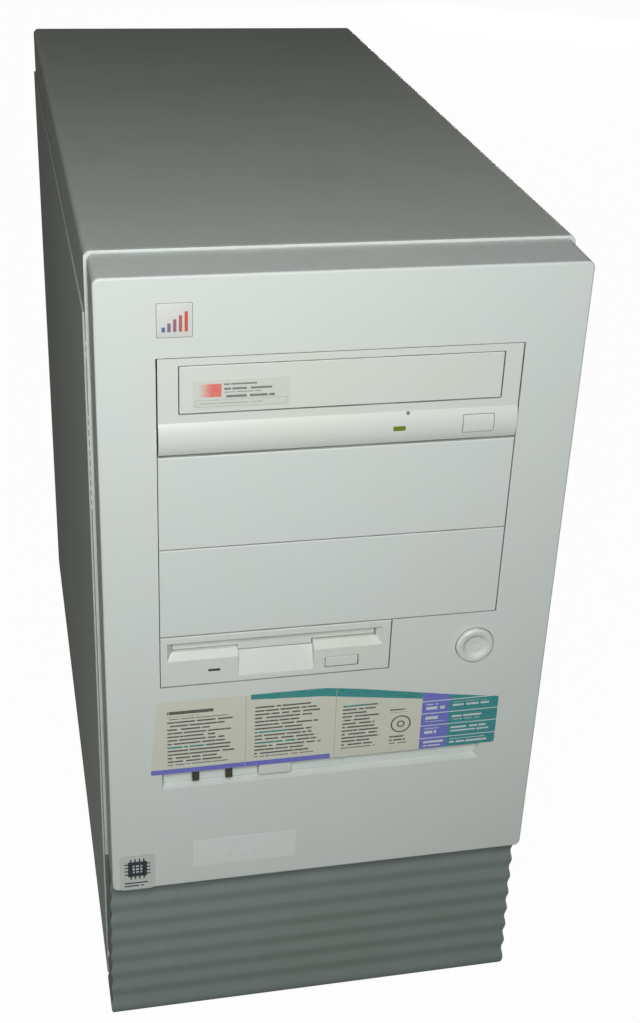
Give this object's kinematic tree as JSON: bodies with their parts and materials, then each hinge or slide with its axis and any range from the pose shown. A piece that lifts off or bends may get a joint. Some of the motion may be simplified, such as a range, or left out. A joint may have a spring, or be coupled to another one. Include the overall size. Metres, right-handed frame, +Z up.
{
  "type": "home computer",
  "caption": "Mini-tower home computer with an optical drive, a floppy drive, spare drive bays, a round power button and a ribbed plinth; opens at the side.",
  "frame": {"origin": "on the floor below the middle of the case", "axes": "+X to the viewer's right when facing the front, +Y to the rear, +Z up; the face looks along -Y"},
  "size_m": [0.2026, 0.4478, 0.3892],
  "materials": {
    "cover_paint": "baked powder paint, fine texture",
    "chassis_steel": "zinc-plated sheet",
    "bezel_plastic": "fine moulded grain",
    "drive_plastic": "fine moulded grain",
    "plinth_plastic": "fine moulded grain",
    "tray_plastic": "satin",
    "dark_lens": "smoked window",
    "cast_drive": "cast, satin",
    "black_plastic": "satin",
    "red_plastic": "gloss",
    "socket_plastic": "satin",
    "screw_steel": "nickel plate",
    "board_green": "solder mask",
    "ceramic_chip": "ceramic package",
    "sink_aluminium": "extruded",
    "port_steel": "nickel plate",
    "rubber": "moulded",
    "ribbon_grey": "flat lead",
    "wire_bundle": "stranded leads"
  },
  "bodies": {
    "case": {"top_cover": "cover_paint", "right_side_panel": "cover_paint", "base_pan": "chassis_steel", "front_plate": "chassis_steel", "rear_panel": "chassis_steel", "board_tray": "chassis_steel", "drive_cage": "chassis_steel", "floppy_cage": "chassis_steel", "hard_drive_bracket": "chassis_steel", "cd_shell": "chassis_steel", "floppy_shell": "chassis_steel", "power_supply_case": "chassis_steel", "slot_cover": "chassis_steel", "front_bezel": "bezel_plastic", "indicator_insert": "bezel_plastic", "bay_cover_upper": "bezel_plastic", "bay_cover_lower": "bezel_plastic", "cd_bezel": "drive_plastic", "floppy_bezel": "drive_plastic", "plinth": "plinth_plastic", "cd_loader_deck": "tray_plastic", "indicator_lenses": "dark_lens", "cd_lamp": "dark_lens", "floppy_lamp": "dark_lens", "hard_drive": "cast_drive", "power_switch": "black_plastic", "fan_frame": "black_plastic", "mains_inlet": "black_plastic", "monitor_outlet": "black_plastic", "speaker": "black_plastic", "voltage_socket": "socket_plastic", "fan_guard": "screw_steel", "case_screws": "screw_steel", "drive_screws": "screw_steel", "motherboard": "board_green", "riser_card": "board_green", "indicator_board": "board_green", "hard_drive_board": "board_green", "memory_modules": "board_green", "modem_card": "board_green", "sound_card": "board_green", "power_supply_board": "board_green", "processor": "ceramic_chip", "heatsink": "sink_aluminium", "rear_ports": "port_steel", "rubber_feet": "rubber", "drive_ribbon": "ribbon_grey", "floppy_ribbon": "ribbon_grey", "power_leads": "wire_bundle"},
    "cd_tray": {"cd_tray": "tray_plastic", "cd_tray_front": "drive_plastic"},
    "cd_eject_button": {"cd_eject_button": "drive_plastic"},
    "floppy_door": {"floppy_door": "drive_plastic"},
    "floppy_eject_button": {"floppy_eject_button": "drive_plastic"},
    "power_button": {"power_button": "bezel_plastic"},
    "reset_button": {"reset_button": "bezel_plastic"},
    "side_panel": {"left_side_panel": "cover_paint", "panel_screws": "screw_steel"},
    "fan_rotor": {"fan_rotor": "black_plastic"},
    "voltage_slider": {"voltage_slider": "red_plastic"}
  },
  "joints": [
    {"name": "cd_tray_slide", "type": "slide", "parent": "case", "child": "cd_tray", "axis": [0, -1, 0], "range_m": [0, 0.13]},
    {"name": "cd_eject_press", "type": "slide", "parent": "case", "child": "cd_eject_button", "axis": [0, 1, 0], "range_m": [0, 0.0012], "stiffness_N_per_m": 800},
    {"name": "floppy_door_swing", "type": "hinge", "parent": "case", "child": "floppy_door", "pos_m": [0, -0.2164, 0.21974], "axis": [1, 0, 0], "range_deg": [0, 80], "stiffness_Nm_per_rad": 0.002},
    {"name": "floppy_eject_slide", "type": "slide", "parent": "case", "child": "floppy_eject_button", "axis": [0, -1, 0], "range_m": [0, 0.005]},
    {"name": "power_press", "type": "slide", "parent": "case", "child": "power_button", "axis": [0, 1, 0], "range_m": [0, 0.003], "stiffness_N_per_m": 600},
    {"name": "reset_press", "type": "slide", "parent": "case", "child": "reset_button", "axis": [0, 1, 0], "range_m": [0, 0.0012], "stiffness_N_per_m": 800},
    {"name": "side_panel_slide", "type": "slide", "parent": "case", "child": "side_panel", "axis": [0, 1, 0], "range_m": [0, 0.42]},
    {"name": "fan_spin", "type": "hinge", "parent": "case", "child": "fan_rotor", "pos_m": [0.024, 0.2021, 0.3394], "axis": [0, 1, 0], "continuous": true},
    {"name": "voltage_select", "type": "slide", "parent": "case", "child": "voltage_slider", "axis": [0, 0, 1], "range_m": [0, 0.004]}
  ]
}
